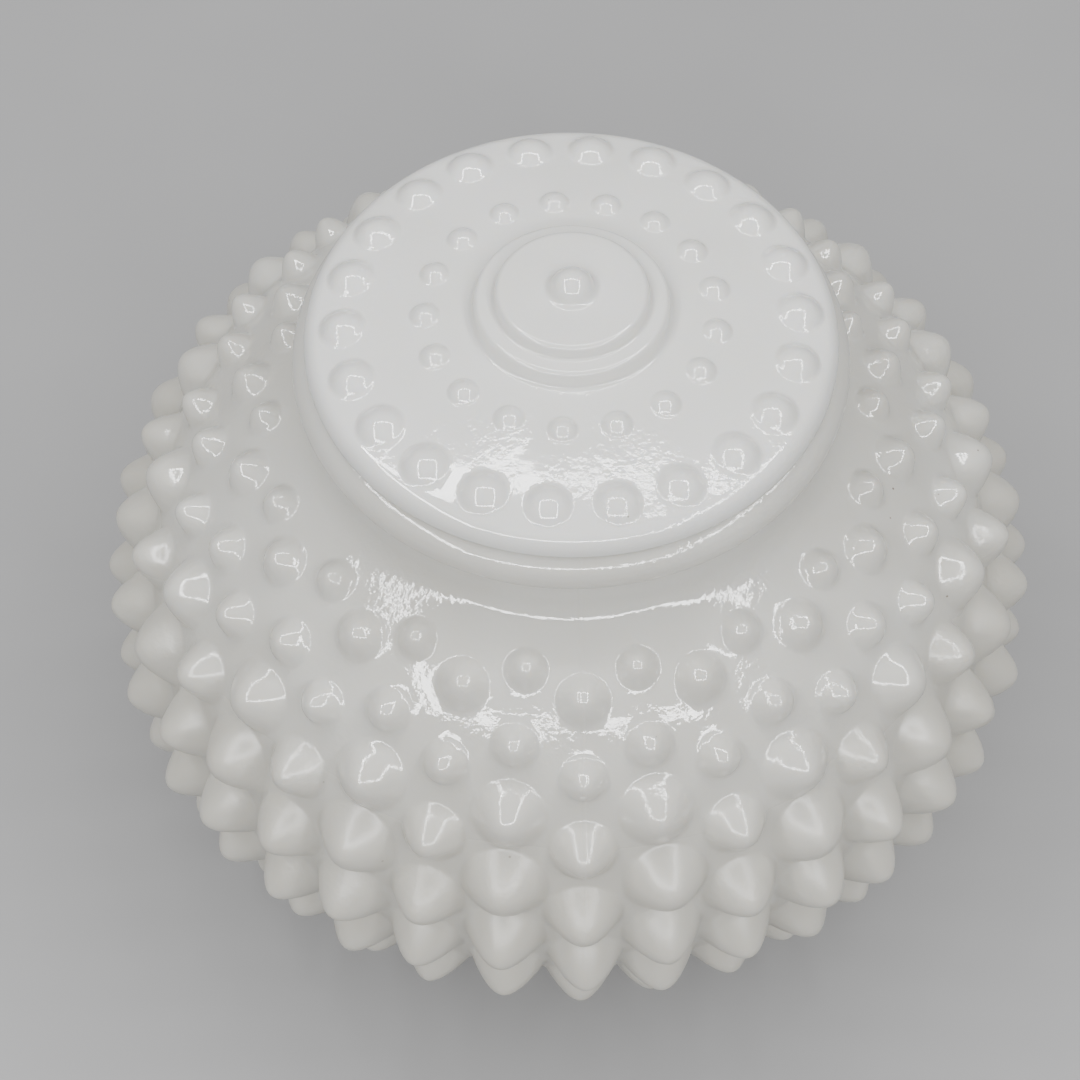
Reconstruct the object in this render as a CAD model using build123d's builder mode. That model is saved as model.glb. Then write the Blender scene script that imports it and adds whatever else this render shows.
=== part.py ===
"""Covered cream jar of pressed opal glass, covered in pointed knobs.

Two loose pieces of glass: a squat round jar with a beaded rim, and a low domed lid that rests on the
rim and is kept in place by a ring on its underside. Millimetres, +Z up, origin at the centre of the foot.
"""

import os
from math import acos, cos, degrees, radians, sin, sqrt

from build123d import *

# Bowl: an arc about a point off the axis, turned about Z
BOWL_CENTRE_R = 19.8
BOWL_CENTRE_Z = 40.0
BOWL_ARC_R = 37.4
WALL = 4.0
FLOOR_Z = 7.5
FOOT_R = 33.0
FOOT_INNER_R = 27.0
FOOT_RECESS = 1.6
FOOT_ROUND = 0.8

# Neck and beaded rim
NECK_R = 31.0
NECK_FILLET_R = 6.0
MOUTH_R = 28.0
BEAD_CENTRE_R = 31.5
BEAD_CENTRE_Z = 84.3
BEAD_R = 2.7
LEDGE_R = 30.8
SEAT_Z = 87.2
LEDGE_ROUND = 0.2

# Lid: a shallow dome with a broadly rolled edge, and a locating ring below
LID_R = 32.5
EDGE_LOW_Z = 87.5
EDGE_ROUND = 2.2
LID_SEAT_R = 32.1
DOME_TOP_Z = 93.2
DOME_ARC_R = 156.0
DOME_THICKNESS = 3.2
LOCATING_R = 27.5
LOCATING_INNER_R = 24.8
LOCATING_DEPTH = 4.6
LOCATING_ROUND = 0.8

# Stepped button in the middle of the lid
STEP_R = 11.8
STEP_Z = 94.9
STEP_ROUND = 0.7
BUTTON_R = 9.3
BUTTON_Z = 96.6
BUTTON_ROUND = 0.8
BUTTON_DOT = (3.4, 2.5)

# Pointed knobs on the bowl, 18 in a row: each row's latitude, and its knobs' radius and height.
# Every second row is turned by half a pitch.
KNOBS_ROUND = 18
SEAM_TURN = 2.7
BOWL_ROWS = [
    (60.0, 2.7, 2.1),
    (55.0, 3.3, 2.6),
    (45.5, 3.05, 2.7),
    (40.0, 3.05, 3.1),
    (32.0, 4.5, 4.0),
    (25.0, 4.0, 4.5),
    (16.3, 5.0, 5.0),
    (9.0, 4.7, 5.3),
    (1.0, 4.9, 5.6),
    (-7.0, 4.7, 5.5),
    (-15.0, 4.8, 5.2),
    (-23.0, 4.5, 4.8),
    (-31.0, 4.3, 4.2),
    (-39.0, 3.8, 3.6),
    (-47.0, 3.4, 3.0),
    (-55.0, 2.9, 2.4),
]
TIP_SHARE = 0.34
KNOB_ROOT = 1.5

# Round dots on the lid: how many, their circle's radius, their own radius and height, and the turn
OUTER_DOTS = (22, 27.7, 3.1, 1.4, -21.0)
INNER_DOTS = (17, 17.7, 2.0, 1.05, -24.1)


def bowl_rise(arc_r, r):
    """How far the bowl's arc of that radius stands above or below its centre, at r from the axis."""
    return sqrt(arc_r**2 - (r - BOWL_CENTRE_R) ** 2)


def dome_z(r, thickness=0.0):
    """Height of the lid's dome, or of the surface that far inside it, at r from the axis."""
    return DOME_TOP_Z - DOME_ARC_R + sqrt((DOME_ARC_R - thickness) ** 2 - r**2)


def corner(sketch, r, z):
    """The sketch's vertex nearest to that point."""
    return sketch.vertices().sort_by_distance((r, z))[0]


def pointed_knob(radius, height):
    """A blunt cone standing on z = 0, carried on below it to a root that sinks into the glass."""
    tip = TIP_SHARE * radius
    root_r = radius + KNOB_ROOT * (radius - tip) / height
    with BuildPart() as knob:
        with Locations((0, 0, -KNOB_ROOT)):
            Cone(root_r, tip, KNOB_ROOT + height, align=(Align.CENTER, Align.CENTER, Align.MIN))
    return knob.part


def round_dot(radius, height):
    """A ball cap standing on z = 0, with a root that sinks into the glass."""
    with BuildPart() as dot:
        with BuildSketch(Plane.XZ):
            with BuildLine():
                ball_r = (radius**2 + height**2) / (2 * height)
                RadiusArc((radius, 0), (0, height), -ball_r)
                Polyline((0, height), (0, -KNOB_ROOT), (radius, -KNOB_ROOT), (radius, 0))
            make_face()
        revolve(axis=Axis.Z)
    return dot.part


def outward(r, z, azimuth, slope):
    """A plane on a turned surface: slope is its normal's angle above the horizon, azimuth from -Y."""
    around = radians(azimuth)
    level = Vector(sin(around), -cos(around), 0)
    normal = level * cos(radians(slope)) + Vector(0, 0, sin(radians(slope)))
    return Plane(origin=level * r + Vector(0, 0, z), z_dir=normal)


def bowl_knobs():
    """Every pointed knob of the bowl, in place."""
    knobs = []
    for index, (latitude, radius, height) in enumerate(BOWL_ROWS):
        knob = pointed_knob(radius, height)
        r = BOWL_CENTRE_R + BOWL_ARC_R * cos(radians(latitude))
        z = BOWL_CENTRE_Z + BOWL_ARC_R * sin(radians(latitude))
        half_pitch = 180 / KNOBS_ROUND if index % 2 == 0 else 0
        for count in range(KNOBS_ROUND):
            azimuth = SEAM_TURN + half_pitch + count * 360 / KNOBS_ROUND
            knobs.append(knob.located(outward(r, z, azimuth, latitude).location))
    return knobs


def lid_dots():
    """Every round dot of the lid, in place, with the one on its button."""
    dots = [round_dot(*BUTTON_DOT).located(Location((0, 0, BUTTON_Z)))]
    for number, circle_r, radius, height, turn in (OUTER_DOTS, INNER_DOTS):
        dot = round_dot(radius, height)
        slope = degrees(acos(circle_r / DOME_ARC_R))
        for count in range(number):
            plane = outward(circle_r, dome_z(circle_r), turn + count * 360 / number, slope)
            dots.append(dot.located(plane.location))
    return dots


def jar_part():
    """The bowl with its foot, neck and bead, hollow, and all its knobs."""
    foot_top_z = BOWL_CENTRE_Z - bowl_rise(BOWL_ARC_R, FOOT_R)
    neck_z = BOWL_CENTRE_Z + bowl_rise(BOWL_ARC_R, NECK_R)
    bead_low_z = BEAD_CENTRE_Z - sqrt(BEAD_R**2 - (NECK_R - BEAD_CENTRE_R) ** 2)
    bead_top_z = BEAD_CENTRE_Z + sqrt(BEAD_R**2 - (LEDGE_R - BEAD_CENTRE_R) ** 2)
    inner_arc_r = BOWL_ARC_R - WALL
    mouth_low_z = BOWL_CENTRE_Z + bowl_rise(inner_arc_r, MOUTH_R)
    floor_r = BOWL_CENTRE_R + sqrt(inner_arc_r**2 - (BOWL_CENTRE_Z - FLOOR_Z) ** 2)
    with BuildPart() as jar:
        with BuildSketch(Plane.XZ) as outside:
            with BuildLine():
                Polyline((0, FOOT_RECESS), (FOOT_INNER_R, FOOT_RECESS), (FOOT_INNER_R + FOOT_RECESS, 0),
                         (FOOT_R, 0), (FOOT_R, foot_top_z))
                equator = (BOWL_CENTRE_R + BOWL_ARC_R, BOWL_CENTRE_Z)
                ThreePointArc((FOOT_R, foot_top_z), equator, (NECK_R, neck_z))
                Line((NECK_R, neck_z), (NECK_R, bead_low_z))
                bead_side = (BEAD_CENTRE_R + BEAD_R, BEAD_CENTRE_Z)
                ThreePointArc((NECK_R, bead_low_z), bead_side, (LEDGE_R, bead_top_z))
                Polyline((LEDGE_R, bead_top_z), (LEDGE_R, SEAT_Z), (0, SEAT_Z), (0, FOOT_RECESS))
            make_face()
            fillet(corner(outside, NECK_R, neck_z), NECK_FILLET_R)
            fillet(corner(outside, FOOT_R, 0), FOOT_ROUND)
            fillet(corner(outside, LEDGE_R, SEAT_Z), LEDGE_ROUND)
        revolve(axis=Axis.Z)
        add(bowl_knobs())
        with BuildSketch(Plane.XZ) as hollow:
            with BuildLine():
                Polyline((0, SEAT_Z), (0, FLOOR_Z), (floor_r, FLOOR_Z))
                inner_equator = (BOWL_CENTRE_R + inner_arc_r, BOWL_CENTRE_Z)
                ThreePointArc((floor_r, FLOOR_Z), inner_equator, (MOUTH_R, mouth_low_z))
                Polyline((MOUTH_R, mouth_low_z), (MOUTH_R, SEAT_Z), (0, SEAT_Z))
            make_face()
        revolve(axis=Axis.Z, mode=Mode.SUBTRACT)
    return jar.part


def lid_part():
    """The domed lid with its stepped button, its locating ring and its dots."""
    ring_low_z = SEAT_Z - LOCATING_DEPTH
    under_top_z = dome_z(0, DOME_THICKNESS)
    under_low_z = dome_z(LOCATING_INNER_R, DOME_THICKNESS)
    with BuildPart() as lid:
        with BuildSketch(Plane.XZ) as section:
            with BuildLine():
                under_arc_r = DOME_ARC_R - DOME_THICKNESS
                RadiusArc((0, under_top_z), (LOCATING_INNER_R, under_low_z), under_arc_r)
                Polyline((LOCATING_INNER_R, under_low_z), (LOCATING_INNER_R, ring_low_z),
                         (LOCATING_R, ring_low_z), (LOCATING_R, SEAT_Z), (LID_SEAT_R, SEAT_Z),
                         (LID_R, EDGE_LOW_Z), (LID_R, dome_z(LID_R)))
                RadiusArc((LID_R, dome_z(LID_R)), (STEP_R, dome_z(STEP_R)), -DOME_ARC_R)
                Polyline((STEP_R, dome_z(STEP_R)), (STEP_R, STEP_Z), (BUTTON_R, STEP_Z),
                         (BUTTON_R, BUTTON_Z), (0, BUTTON_Z), (0, under_top_z))
            make_face()
            fillet(corner(section, LID_R, dome_z(LID_R)), EDGE_ROUND)
            fillet(corner(section, STEP_R, STEP_Z), STEP_ROUND)
            fillet(corner(section, BUTTON_R, BUTTON_Z), BUTTON_ROUND)
            fillet(corner(section, LOCATING_R, ring_low_z), LOCATING_ROUND)
            fillet(corner(section, LOCATING_INNER_R, ring_low_z), LOCATING_ROUND)
        revolve(axis=Axis.Z)
        add(lid_dots())
    return lid.part


os.makedirs("parts", exist_ok=True)
for name, piece in (("jar", jar_part()), ("lid", lid_part())):
    piece.label = name
    export_step(piece, f"parts/{name}.step")
    size = piece.bounding_box().size
    print(name, "volume", round(piece.volume), "size", size)
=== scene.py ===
"""Looks for a covered cream jar of pressed opal glass: its knobbed bowl and its dotted lid."""

import random
from math import atan2, cos, hypot, pi, radians, sin, sqrt

import bpy
from mathutils import Matrix, Vector


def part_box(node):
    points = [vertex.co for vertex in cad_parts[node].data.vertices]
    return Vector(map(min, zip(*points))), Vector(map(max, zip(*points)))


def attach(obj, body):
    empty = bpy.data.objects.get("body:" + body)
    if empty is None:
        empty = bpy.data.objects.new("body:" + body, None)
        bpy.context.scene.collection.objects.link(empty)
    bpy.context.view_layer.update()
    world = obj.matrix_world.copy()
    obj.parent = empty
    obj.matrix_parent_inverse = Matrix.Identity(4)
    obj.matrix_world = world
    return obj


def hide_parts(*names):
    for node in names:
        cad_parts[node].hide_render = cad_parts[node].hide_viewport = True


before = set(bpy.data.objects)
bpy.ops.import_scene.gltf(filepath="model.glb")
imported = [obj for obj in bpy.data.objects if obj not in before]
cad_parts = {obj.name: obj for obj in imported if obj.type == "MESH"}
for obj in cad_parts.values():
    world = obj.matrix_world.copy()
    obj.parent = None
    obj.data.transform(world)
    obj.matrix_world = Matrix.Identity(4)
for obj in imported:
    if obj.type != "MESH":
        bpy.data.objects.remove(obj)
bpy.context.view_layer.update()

MM = 0.001

# Jar section: the bowl is an arc about a point off the axis, and the bead a round one on the neck
SEAT_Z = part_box("jar")[1].z / MM
BOWL_R, BOWL_Z, BOWL_ARC = 19.8, 40.0, 37.4
WALL = 4.0
FLOOR_Z = 7.5
NECK_R = 31.0
NECK_FILLET = 6.0
MOUTH_R = 28.0
BEAD_R, BEAD_Z, BEAD = 31.5, 84.3, 2.7
LEDGE_R = 30.8
LEDGE_ROUND, MOUTH_ROUND = 0.2, 0.4
FOOT_R = 33.0
FOOT_ROUND = 0.8
FOOT_INNER_R = 28.6
RECESS_R, RECESS = 27.0, 1.6

# Knobs on the bowl, 18 in a row: latitude, radius, height and bluntness (a cone's tip is 0, a dome's 1.5)
KNOBS_ROUND = 18
SEAM_TURN = 2.7
ROWS = [
    (60.0, 2.6, 2.1, 1.6),
    (55.0, 3.2, 2.6, 1.6),
    (45.5, 3.0, 2.7, 1.4),
    (40.0, 3.05, 3.0, 1.3),
    (32.0, 4.7, 3.8, 1.1),
    (25.0, 4.2, 4.1, 1.1),
    (16.3, 5.5, 4.5, 1.0),
    (9.0, 5.0, 4.9, 1.0),
    (1.0, 5.3, 5.3, 0.9),
    (-7.0, 5.0, 5.2, 0.9),
    (-15.0, 4.9, 5.0, 0.8),
    (-23.0, 4.6, 4.6, 0.8),
    (-31.0, 4.3, 4.1, 0.9),
    (-39.0, 3.8, 3.5, 0.9),
    (-47.0, 3.4, 2.9, 1.1),
    (-55.0, 2.9, 2.3, 1.2),
]
# A knob's foot: how far outside its radius, and how high, the hollow curve's points lie
KNOB_FOOT = [(-0.17, 0.25), (0.12, 0.08), (0.45, 0.0)]
KNOB_SINK = 0.03
KNOB_ROOT = 1.0
KNOB_SIDES = 22
KNOB_RINGS = 7
STEPS = 216

# Lid section
LID_R = 32.5
EDGE_ROUND = 2.25
EDGE_CORNER = 0.4
DOME_TOP, DOME_ARC = 93.2, 156.0
DOME_THICKNESS = 3.2
LOCATING_R, LOCATING_INNER_R, LOCATING_LOW, LOCATING_ROUND = 27.5, 24.8, 82.6, 0.8
STEP_R, STEP_Z = 11.8, 94.9
STEP_ROUND, STEP_HOLLOW, FOOT_HOLLOW = 0.7, 0.5, 0.8
BUTTON_R, BUTTON_Z, BUTTON_ROUND = 9.3, 96.6, 0.8
# The button's dot: its foot, height and hollow curve
BUTTON_DOT = (3.6, 2.5, 1.0)
LID_STEPS = 288
# Dots on the lid: how many, their circle and first azimuth, and each one's foot, height and hollow curve
DOTS = [
    (22, 27.7, -21.0, (3.4, 1.42, 1.2)),
    (17, 17.7, -24.1, (2.2, 1.02, 0.7)),
]

# Glass colours: each piece's two cloudy whites, the jar's painted darker than the lid's as painted shade,
# and the darker cream painted towards the bowl's foot as painted shade
LID_WHITES = ((0.80, 0.80, 0.77, 1), (0.84, 0.84, 0.82, 1))
# The jar's two whites are the lid's glass painted darker: painted shade on the bowl's walls
JAR_SHADED_WHITES = ((0.64, 0.63, 0.585, 1), (0.68, 0.675, 0.635, 1))
LOW_SHADE_CREAM = (0.55, 0.53, 0.465, 1)
SPECK_BROWN = (0.20, 0.16, 0.12, 1)
SPECK_PITCH = 7

# Studio: a square frame of four light bars, over the front of the jar, and the camera below it
FRAME_ELEVATION, FRAME_DISTANCE = 71, 0.42
FRAME_SIDE, FRAME_BAR, BAR_POWER = 0.58, 0.045, 1.9
CAMERA_ELEVATION, CAMERA_DISTANCE = 50.99, 0.3240
CAMERA_TURN = {"Z": -0.81, "X": 4.42, "Y": -0.61}
LENS = 88.53


def only(piece=None):
    """Deselects everything, then picks that piece alone and makes it active."""
    bpy.ops.object.select_all(action="DESELECT")
    if piece:
        piece.select_set(True)
        bpy.context.view_layer.objects.active = piece


def arc(centre, radius, start, end, steps):
    """Points on an arc in the section plane, from angle start to end in degrees above the horizon."""
    points = []
    for count in range(steps + 1):
        angle = radians(start + (end - start) * count / steps)
        points.append((centre[0] + radius * cos(angle), centre[1] + radius * sin(angle)))
    return points


def run(start, end, steps):
    """Evenly spaced points from start to end, without the first."""
    return [(start[0] + (end[0] - start[0]) * count / steps,
             start[1] + (end[1] - start[1]) * count / steps) for count in range(1, steps + 1)]


def spun(name, section, steps):
    """A closed piece turned about Z from a section that starts and ends on the axis."""
    only()
    mesh = bpy.data.meshes.new(name)
    mesh.from_pydata([(0, -r * MM, z * MM) for r, z in section],
                     [(count, count + 1) for count in range(len(section) - 1)], [])
    piece = bpy.data.objects.new(name, mesh)
    bpy.context.collection.objects.link(piece)
    only(piece)
    bpy.ops.object.mode_set(mode="EDIT")
    bpy.ops.mesh.select_all(action="SELECT")
    bpy.ops.transform.rotate(value=radians(SEAM_TURN), orient_axis="Z", center_override=(0, 0, 0))
    bpy.ops.mesh.spin(steps=steps, angle=2 * pi, center=(0, 0, 0), axis=(0, 0, 1), use_auto_merge=False)
    bpy.ops.mesh.select_all(action="SELECT")
    bpy.ops.mesh.remove_doubles(threshold=0.00001)
    bpy.ops.mesh.normals_make_consistent(inside=False)
    bpy.ops.object.mode_set(mode="OBJECT")
    return piece


def merged(*runs):
    """One section from several runs of points, without the points that repeat."""
    section = []
    for points in runs:
        for point in points:
            if not section or hypot(point[0] - section[-1][0], point[1] - section[-1][1]) > 0.01:
                section.append(point)
    return section


def neck_fillet(steps):
    """The hollow curve between the bowl and the neck, and the bowl's latitude where it starts."""
    centre_r = NECK_R + NECK_FILLET
    reach = BOWL_ARC + NECK_FILLET
    centre_z = BOWL_Z + sqrt(reach**2 - (centre_r - BOWL_R) ** 2)
    latitude = atan2(centre_z - BOWL_Z, centre_r - BOWL_R) * 180 / pi
    return latitude, arc((centre_r, centre_z), NECK_FILLET, 180 + latitude, 180, steps)


def jar_section():
    """The jar's section from the underside's centre, up the outside, over the rim and down inside."""
    foot_latitude = -atan2(sqrt(BOWL_ARC**2 - (FOOT_R - BOWL_R) ** 2), FOOT_R - BOWL_R) * 180 / pi
    top_latitude, neck = neck_fillet(9)
    under = [(0, RECESS)] + run((0, RECESS), (RECESS_R, RECESS), 4) + [(FOOT_INNER_R, 0)]
    foot_top = BOWL_Z + BOWL_ARC * sin(radians(foot_latitude))
    foot = (arc((FOOT_R - FOOT_ROUND, FOOT_ROUND), FOOT_ROUND, -90, 0, 4)
            + run((FOOT_R, FOOT_ROUND), (FOOT_R, foot_top), 4))
    bowl = arc((BOWL_R, BOWL_Z), BOWL_ARC, foot_latitude, top_latitude, 54)
    bead_low = -90 - asin_degrees((BEAD_R - NECK_R) / BEAD)
    ledge_angle = 90 + asin_degrees((BEAD_R - LEDGE_R) / BEAD)
    bead = arc((BEAD_R, BEAD_Z), BEAD, bead_low, ledge_angle, 22)
    seat = (arc((LEDGE_R - LEDGE_ROUND, SEAT_Z - LEDGE_ROUND), LEDGE_ROUND, 20, 90, 2)
            + arc((MOUTH_R + MOUTH_ROUND, SEAT_Z - MOUTH_ROUND), MOUTH_ROUND, 90, 180, 3))
    inner_arc = BOWL_ARC - WALL
    mouth_latitude = atan2(sqrt(inner_arc**2 - (MOUTH_R - BOWL_R) ** 2), MOUTH_R - BOWL_R) * 180 / pi
    floor_latitude = -asin_degrees((BOWL_Z - FLOOR_Z) / inner_arc)
    inside = arc((BOWL_R, BOWL_Z), inner_arc, mouth_latitude, floor_latitude, 20)
    return merged(under, foot, bowl, neck, bead, seat, inside, [(0, FLOOR_Z)])


def asin_degrees(ratio):
    """The angle in degrees whose sine is that ratio."""
    return atan2(ratio, sqrt(1 - ratio**2)) * 180 / pi


def knob_section(radius, height, bluntness):
    """A knob's section: a rounded tip, a flank that grows straighter, a hollow foot and the root."""
    reach = sqrt(1 + bluntness**2)
    section = []
    for count in range(KNOB_RINGS):
        share = (count / KNOB_RINGS) ** 1.3
        rise = height * (reach - sqrt(share**2 + bluntness**2)) / (reach - bluntness)
        section.append((radius * share, rise))
    section += [(radius + out, rise - KNOB_SINK) for out, rise in KNOB_FOOT]
    foot = section[-1][0]
    return section + [(foot, -KNOB_ROOT), (0, -KNOB_ROOT)]


def dot_section(foot, height, hollow):
    """A round dot's section: a ball's cap, a hollow curve that runs out at its foot, and the root."""
    reach = (foot**2 + height**2) / (2 * height)
    ball = reach - hollow
    turn = asin_degrees(1 - height / reach)
    curve = arc((0, height - ball), ball, 90, turn, 6) + arc((foot, hollow), hollow, 180 + turn, 270, 5)
    return merged([(r, z - KNOB_SINK) for r, z in curve]) + [(foot, -KNOB_ROOT), (0, -KNOB_ROOT)]


def placed(section, r, z, azimuth, slope, bend_around, bend_along):
    """A knob turned from that section, bent to the glass's two curves and stood on it."""
    knob = spun("knob", section, KNOB_SIDES)
    for vertex in knob.data.vertices:
        vertex.co.z -= (vertex.co.x**2 / bend_around + vertex.co.y**2 / bend_along) / (2 * MM)
    level = Vector((sin(radians(azimuth)), -cos(radians(azimuth)), 0))
    normal = level * cos(radians(slope)) + Vector((0, 0, sin(radians(slope))))
    place = level * r * MM + Vector((0, 0, z * MM))
    knob.data.transform(Matrix.Translation(place) @ normal.to_track_quat("Z", "Y").to_matrix().to_4x4())
    return knob


def fused(glass, knobs):
    """Joins the knobs and melts them into the glass as one closed skin."""
    only(knobs[0])
    for knob in knobs:
        knob.select_set(True)
    bpy.ops.object.join()
    only(glass)
    union = glass.modifiers.new("knobs", "BOOLEAN")
    union.operation = "UNION"
    union.solver = "EXACT"
    union.object = knobs[0]
    bpy.ops.object.modifier_apply(modifier=union.name)
    bpy.data.objects.remove(knobs[0])


def bowl_knobs(rows, draws):
    """The knobs of those rows of the bowl. Every second row is turned by half a pitch."""
    knobs = []
    for index in rows:
        latitude, radius, height, bluntness = ROWS[index]
        half = 180 / KNOBS_ROUND if index % 2 == 0 else 0
        for count in range(KNOBS_ROUND):
            azimuth = SEAM_TURN + half + count * 360 / KNOBS_ROUND + draws.uniform(-0.3, 0.3)
            own_radius = radius * draws.uniform(0.97, 1.01)
            own_height = height * draws.uniform(0.94, 1.0)
            section = knob_section(own_radius, own_height, bluntness * draws.uniform(0.85, 1.15))
            slope = latitude + draws.uniform(-0.25, 0.25)
            r = BOWL_R + BOWL_ARC * cos(radians(slope))
            z = BOWL_Z + BOWL_ARC * sin(radians(slope))
            knobs.append(placed(section, r, z, azimuth, slope, r / cos(radians(slope)), BOWL_ARC))
    return knobs


def dome_z(r):
    """Height of the lid's dome at r from the axis."""
    return DOME_TOP - DOME_ARC + sqrt(DOME_ARC**2 - r**2)


def lid_section():
    """The lid's section from the middle of its dot, out over the dome and back underneath."""
    dot = [(r, BUTTON_Z + rise) for r, rise in dot_section(*BUTTON_DOT)[:-2]]
    button_top_r = BUTTON_R - BUTTON_ROUND
    button = (run((BUTTON_DOT[0], BUTTON_Z), (button_top_r, BUTTON_Z), 6)
              + arc((button_top_r, BUTTON_Z - BUTTON_ROUND), BUTTON_ROUND, 90, 10, 6))
    step = (arc((BUTTON_R + 0.6, STEP_Z + STEP_HOLLOW), STEP_HOLLOW, 190, 270, 4)
            + arc((STEP_R - STEP_ROUND, STEP_Z - STEP_ROUND), STEP_ROUND, 90, 10, 6))
    step_foot = arc((STEP_R + 0.9, dome_z(STEP_R + 1.0) + FOOT_HOLLOW), FOOT_HOLLOW, 190, 266, 5)
    roll_r = LID_R - EDGE_ROUND
    inner_arc = DOME_ARC - EDGE_ROUND
    roll_z = DOME_TOP - DOME_ARC + sqrt(inner_arc**2 - roll_r**2)
    roll_top = 90 - asin_degrees(roll_r / inner_arc)
    dome_low_r = roll_r + EDGE_ROUND * cos(radians(roll_top))
    dome_start_r = STEP_R + 1.3
    dome = [(r, dome_z(r)) for r, _ in run((dome_start_r, 0), (dome_low_r, 0), 40)]
    roll = arc((roll_r, roll_z), EDGE_ROUND, roll_top, 0, 9)
    low = arc((LID_R - EDGE_CORNER, SEAT_Z + EDGE_CORNER), EDGE_CORNER, 0, -90, 4)
    seat = run((LID_R - EDGE_CORNER, SEAT_Z), (LOCATING_R, SEAT_Z), 3)
    bend_z = LOCATING_LOW + LOCATING_ROUND
    ring = (run((LOCATING_R, SEAT_Z), (LOCATING_R, bend_z), 2)
            + arc((LOCATING_R - LOCATING_ROUND, bend_z), LOCATING_ROUND, 0, -90, 4)
            + arc((LOCATING_INNER_R + LOCATING_ROUND, bend_z), LOCATING_ROUND, -90, -180, 4))
    under_arc = DOME_ARC - DOME_THICKNESS
    under_low = 90 - asin_degrees(LOCATING_INNER_R / under_arc)
    under = arc((0, DOME_TOP - DOME_ARC), under_arc, under_low, 90, 8)
    return merged(dot, button, step, step_foot, dome, roll, low, seat, ring, under)


def lid_dots(draws):
    """Both rings of round dots on the lid."""
    dots = []
    for number, circle, first, (foot, height, hollow) in DOTS:
        slope = 90 - asin_degrees(circle / DOME_ARC)
        for count in range(number):
            azimuth = first + count * 360 / number + draws.uniform(-0.3, 0.3)
            size = draws.uniform(0.97, 1.02)
            section = dot_section(foot * size, height * size * draws.uniform(0.95, 1.0), hollow)
            dots.append(placed(section, circle, dome_z(circle), azimuth, slope, DOME_ARC, DOME_ARC))
    return dots


class Amount:
    """A number that varies over a surface. Sums, differences and products of these add Math nodes."""

    def __init__(self, recipe, socket):
        self.recipe, self.socket = recipe, socket

    def math(self, operation, first, second):
        return self.recipe.node("ShaderNodeMath", {"operation": operation}, {0: first, 1: second})

    def __add__(self, other):
        return self.math("ADD", self, other)

    __radd__ = __add__

    def __rsub__(self, other):
        return self.math("SUBTRACT", other, self)

    def __mul__(self, other):
        return self.math("MULTIPLY", self, other)

    __rmul__ = __mul__


class Recipe:
    """A material that is being put together: its node tree and its one glossy shader."""

    def __init__(self, name):
        self.material = bpy.data.materials.new(name)
        self.material.use_nodes = True
        self.tree = self.material.node_tree
        self.shader = self.tree.nodes["Principled BSDF"]
        self.place = self.node("ShaderNodeTexCoord", {}, {}, "Object")

    def node(self, kind, settings, inputs, output=0):
        """Adds a node with its settings and the values or links of its sockets."""
        made = self.tree.nodes.new(kind)
        for name, value in settings.items():
            setattr(made, name, value)
        for name, value in inputs.items():
            self.feed(made.inputs[name], value)
        return Amount(self, made.outputs[output])

    def feed(self, socket, value):
        """Links a varying value to a socket, or sets a plain one on it."""
        if isinstance(value, Amount):
            self.tree.links.new(value.socket, socket)
        else:
            socket.default_value = value

    def noise(self, size, detail=2.0):
        """Cloudy variation with features of about that size in millimetres."""
        return self.node("ShaderNodeTexNoise", {}, {"Vector": self.place, "Scale": 1 / (size * MM),
                                                    "Detail": detail, "Roughness": 0.5})

    def span(self, value, low, high):
        """0 where the value is low or less, 1 where it is high or more, and smooth between."""
        return self.node("ShaderNodeMapRange", {"interpolation_type": "SMOOTHSTEP"},
                         {"Value": value, "From Min": low, "From Max": high})

    def blend(self, share, first, second):
        """The first colour where the share is 0 and the second where it is 1."""
        return self.node("ShaderNodeMix", {"data_type": "RGBA"},
                         {"Factor": share, "A": first, "B": second}, "Result")


def opal_glass(name, whites, on_bowl):
    """Opaque white pressed glass: glossy and a little milky, with a rippled skin and a few specks."""
    recipe = Recipe(name)
    clouds = recipe.span(recipe.noise(22), 0.35, 0.65)
    colour = recipe.blend(clouds, *whites)
    specks = recipe.node("ShaderNodeTexVoronoi", {},
                         {"Vector": recipe.place, "Scale": 1 / (SPECK_PITCH * MM)}, "Distance")
    colour = recipe.blend(1 - recipe.span(specks, 0.012, 0.03), colour, SPECK_BROWN)
    patches = recipe.span(recipe.noise(14), 0.45, 0.6)
    gloss = 0.05 + patches * 0.04
    ripple = recipe.noise(7, 0.0) * 0.06 + recipe.noise(0.9, 2.0) * (0.004 + patches * 0.05)
    if on_bowl:
        wear_and_shade = wear_and_shade_share(recipe)
        # Painted shade: the bowl's colour turns darker and warmer towards its foot
        colour = recipe.blend(wear_and_shade * 0.6, colour, LOW_SHADE_CREAM)
        gloss = gloss + wear_and_shade * 0.3
        ripple = ripple + recipe.noise(0.9, 2.0) * 0.02 + seam_ridge(recipe)
    recipe.feed(recipe.shader.inputs["Base Color"], colour)
    recipe.feed(recipe.shader.inputs["Roughness"], gloss)
    bump = recipe.node("ShaderNodeBump", {}, {"Height": ripple * MM, "Distance": 1.0, "Strength": 1.0})
    recipe.feed(recipe.shader.inputs["Normal"], bump)
    recipe.shader.inputs["IOR"].default_value = 1.55
    recipe.shader.inputs["Specular IOR Level"].default_value = 0.9
    recipe.shader.inputs["Subsurface Weight"].default_value = 0.25
    recipe.shader.inputs["Subsurface Radius"].default_value = (1.0, 0.8, 0.55)
    recipe.shader.inputs["Subsurface Scale"].default_value = 0.003
    return recipe.material


def wear_and_shade_share(recipe):
    """How dull and how shaded the glass is: handling has worn the bowl dull from its widest part down,
    and there its colour is painted darker and warmer as painted shade.
    """
    height = recipe.node("ShaderNodeSeparateXYZ", {}, {0: recipe.place}, "Z")
    return 1 - recipe.span(height, 50 * MM, 68 * MM)


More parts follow.
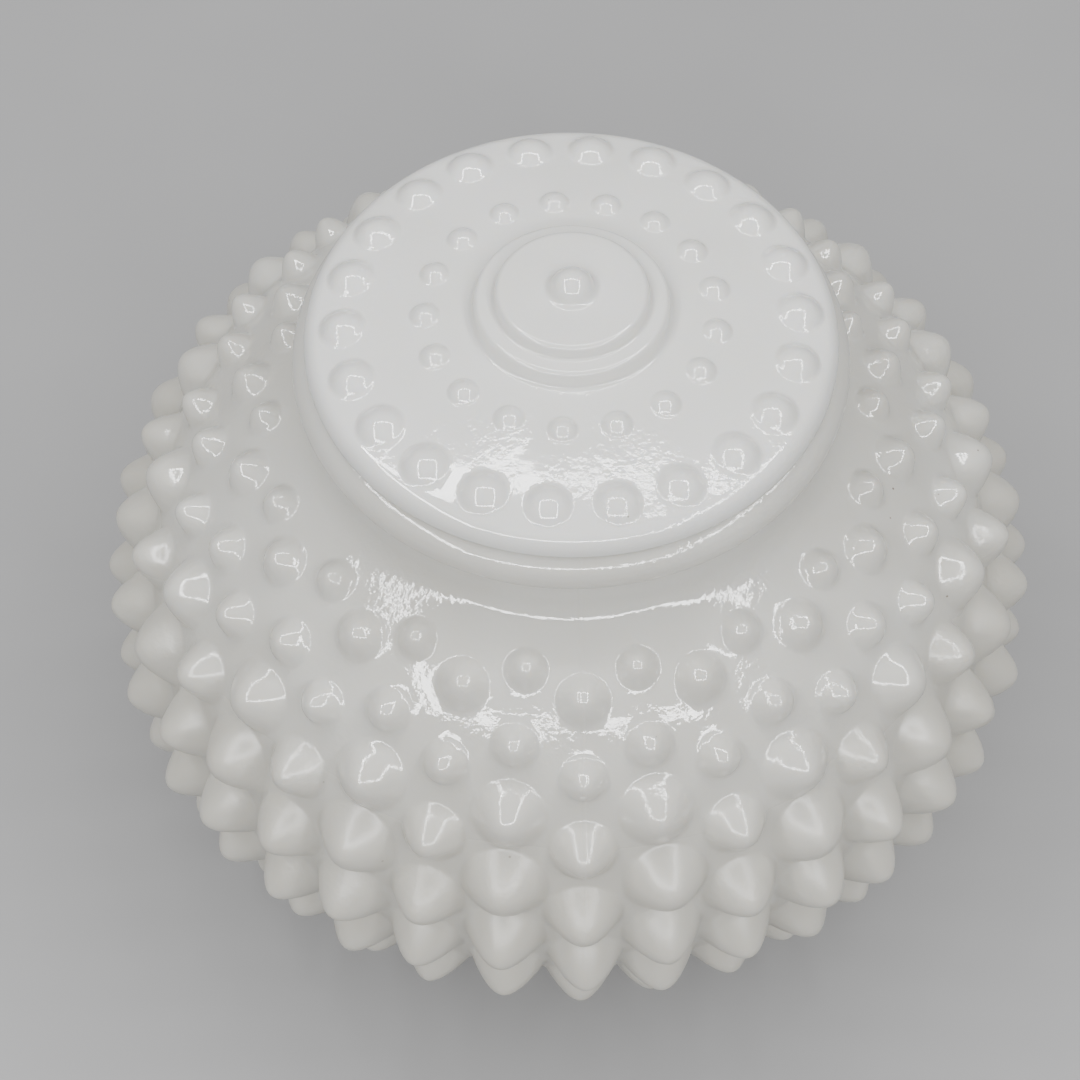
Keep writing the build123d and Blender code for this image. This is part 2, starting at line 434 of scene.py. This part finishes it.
def seam_ridge(recipe):
    """The fine ridge that the mould's joint leaves down the front and back of the bowl."""
    place = recipe.node("ShaderNodeSeparateXYZ", {}, {0: recipe.place}, "X")
    across = place * cos(radians(SEAM_TURN))
    depth = recipe.node("ShaderNodeSeparateXYZ", {}, {0: recipe.place}, "Y") * sin(radians(SEAM_TURN))
    distance = recipe.node("ShaderNodeMath", {"operation": "ABSOLUTE"}, {0: across + depth})
    return (1 - recipe.span(distance, 0.05 * MM, 0.35 * MM)) * 0.03


def finished(piece, material, body, node):
    """Smooths the piece, gives it its material and ties it to the CAD part that it stands for."""
    piece.data.materials.append(material)
    only(piece)
    bpy.ops.object.shade_smooth_by_angle(angle=radians(32))
    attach(piece, body)
    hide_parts(node)


def pale_floor():
    """The plain floor that the jar stands on."""
    only()
    bpy.ops.mesh.primitive_plane_add(size=6, location=(0, 0, 0))
    floor = bpy.context.object
    floor.name = "floor"
    surface = Recipe("pale floor")
    grain = surface.noise(40)
    tint = surface.blend(grain, (0.36, 0.36, 0.365, 1), (0.40, 0.40, 0.405, 1))
    surface.feed(surface.shader.inputs["Base Color"], tint)
    surface.shader.inputs["Roughness"].default_value = 0.7
    floor.data.materials.append(surface.material)


def light_frame():
    """Four bars of light in a square, all facing the jar: they draw the small squares on its dots."""
    middle = Vector((0, 0, 0.09))
    toward = Vector((0, -cos(radians(FRAME_ELEVATION)), sin(radians(FRAME_ELEVATION))))
    turn = toward.to_track_quat("Z", "Y")
    for count in range(4):
        angle = count * pi / 2
        across = turn @ Vector((cos(angle), sin(angle), 0))
        place = middle + toward * FRAME_DISTANCE + across * FRAME_SIDE / 2
        bpy.ops.object.light_add(type="AREA", location=place)
        lamp = bpy.context.object
        lamp.rotation_mode = "QUATERNION"
        lamp.rotation_quaternion = turn @ Matrix.Rotation(angle, 3, "Z").to_quaternion()
        lamp.name = f"light_bar_{count + 1}"
        lamp.data.shape = "RECTANGLE"
        lamp.data.size = FRAME_BAR
        lamp.data.size_y = FRAME_SIDE + FRAME_BAR
        lamp.data.energy = BAR_POWER


def soft_room():
    """A faint warm room and a wide soft lamp overhead, which lighten the shadows."""
    world = bpy.data.worlds.new("soft room")
    world.use_nodes = True
    world.node_tree.nodes["Background"].inputs["Color"].default_value = (1.0, 0.95, 0.88, 1)
    world.node_tree.nodes["Background"].inputs["Strength"].default_value = 0.04
    bpy.context.scene.world = world
    bpy.ops.object.light_add(type="AREA", location=(0, 0.3, 1.0))
    fill = bpy.context.object
    fill.name = "soft_fill"
    fill.data.size = 2.4
    fill.data.energy = 5


def view_camera():
    """The camera over the front of the jar."""
    elevation = radians(CAMERA_ELEVATION)
    target = Vector((0, 0, 87.8 * MM))
    back = Vector((0, -cos(elevation), sin(elevation)))
    turned = Matrix(((1, 0, 0), (0, sin(elevation), cos(elevation)), tuple(back)))
    for axis in ("Y", "X", "Z"):
        turned = Matrix.Rotation(radians(CAMERA_TURN[axis]), 3, axis) @ turned
    data = bpy.data.cameras.new("camera")
    data.sensor_width = 36
    data.lens = LENS
    data.clip_start = 0.01
    camera = bpy.data.objects.new("camera", data)
    bpy.context.collection.objects.link(camera)
    place = Matrix.Translation(target + back * CAMERA_DISTANCE)
    camera.matrix_world = place @ turned.transposed().to_4x4()
    bpy.context.scene.camera = camera


draws = random.Random(4)
jar = spun("opal_jar", jar_section(), STEPS)
for first in range(3):
    fused(jar, bowl_knobs(range(first, len(ROWS), 3), draws))
finished(jar, opal_glass("jar opal glass", JAR_SHADED_WHITES, on_bowl=True), "jar_body", "jar")
lid = spun("opal_lid", lid_section(), LID_STEPS)
fused(lid, lid_dots(draws))
finished(lid, opal_glass("lid opal glass", LID_WHITES, on_bowl=False), "lid_body", "lid")
pale_floor()
soft_room()
light_frame()
view_camera()
